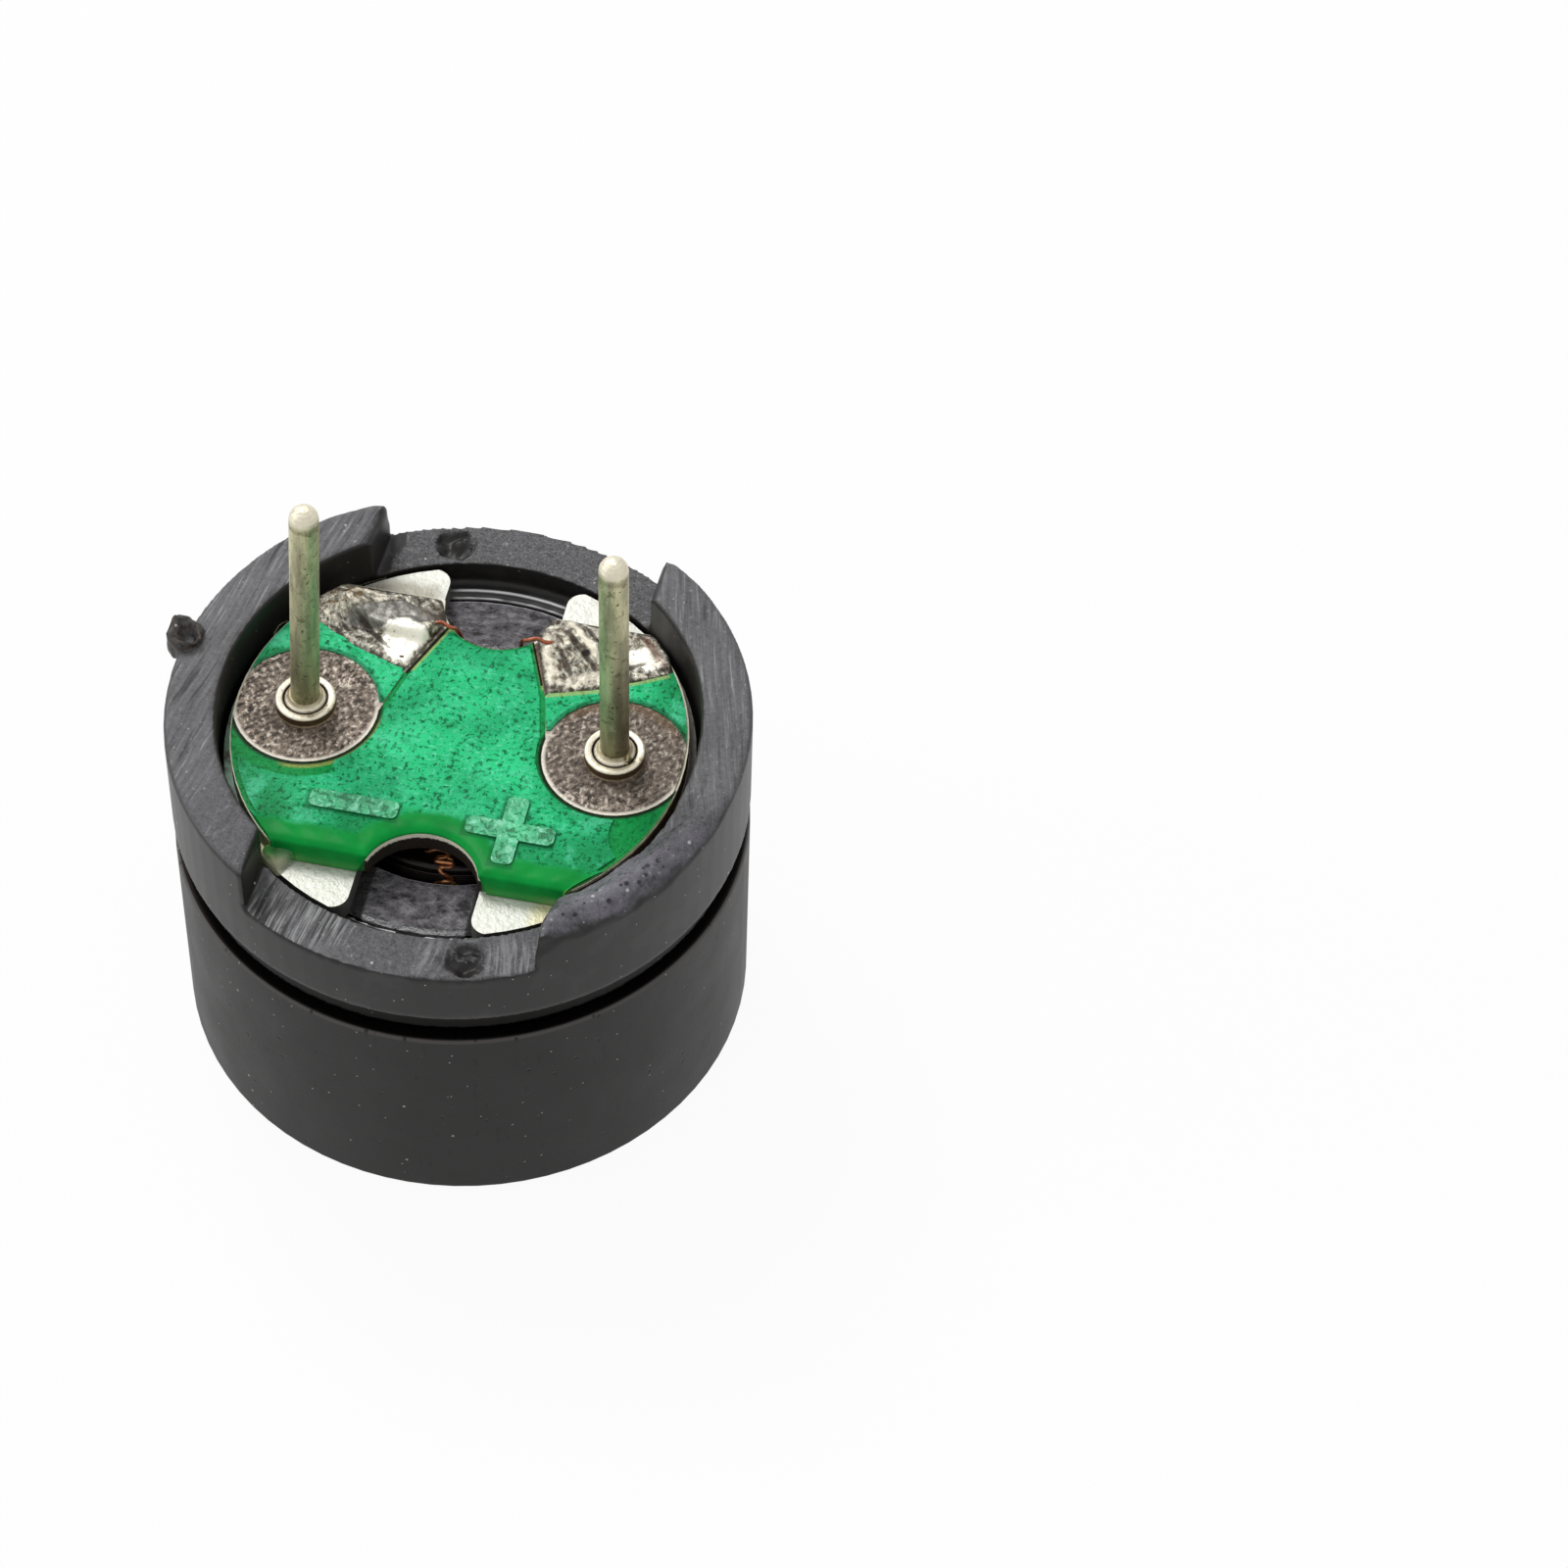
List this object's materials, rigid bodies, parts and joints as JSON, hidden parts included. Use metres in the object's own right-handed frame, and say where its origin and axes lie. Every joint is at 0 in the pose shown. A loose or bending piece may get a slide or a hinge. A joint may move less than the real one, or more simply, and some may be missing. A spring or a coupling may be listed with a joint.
{
  "type": "passive buzzer",
  "caption": "Round magnetic buzzer in a black case with a sound port, an open back with a small circuit board and upright pins.",
  "frame": {"origin": "centre of the sound port in the plane of the sound face", "axes": "+Z from the sound face to the pins, +X from the minus pin to the plus pin"},
  "size_m": [0.0123, 0.012, 0.0139],
  "materials": {
    "case_plastic": "black moulded, satin",
    "ring_plastic": "black moulded, sanded on the rims",
    "laminate": "glass-fibre laminate, sawn edge",
    "tinned_foil": "tinned copper, dull and speckled",
    "copper_foil": "etched copper under lacquer",
    "green_lacquer": "green solder lacquer, uneven",
    "legend_ink": "raised pale green ink",
    "pin_metal": "tinned, tarnished",
    "solder": "rough solder with flux",
    "enamelled_wire": "red copper enamel",
    "plated_steel": "bright nickel plate",
    "sintered_magnet": "coarse sintered, black",
    "diaphragm_steel": "thin rolled steel",
    "clear_glue": "clear yellowish glue"
  },
  "bodies": {
    "root": {"sound_case": "case_plastic", "base_ring": "ring_plastic", "board_laminate": "laminate", "foil_minus": "tinned_foil", "foil_plus": "tinned_foil", "foil_field": "copper_foil", "solder_mask": "green_lacquer", "legend_minus": "legend_ink", "legend_plus": "legend_ink", "pin_minus": "pin_metal", "pin_plus": "pin_metal", "solder_joint_minus": "solder", "solder_joint_plus": "solder", "coil_lead_minus": "enamelled_wire", "coil_lead_plus": "enamelled_wire", "yoke_plate": "plated_steel", "magnet_ring": "sintered_magnet", "core_pole": "plated_steel", "coil": "enamelled_wire", "diaphragm": "diaphragm_steel", "diaphragm_weight": "diaphragm_steel", "glue_fillet": "clear_glue"}
  },
  "joints": []
}
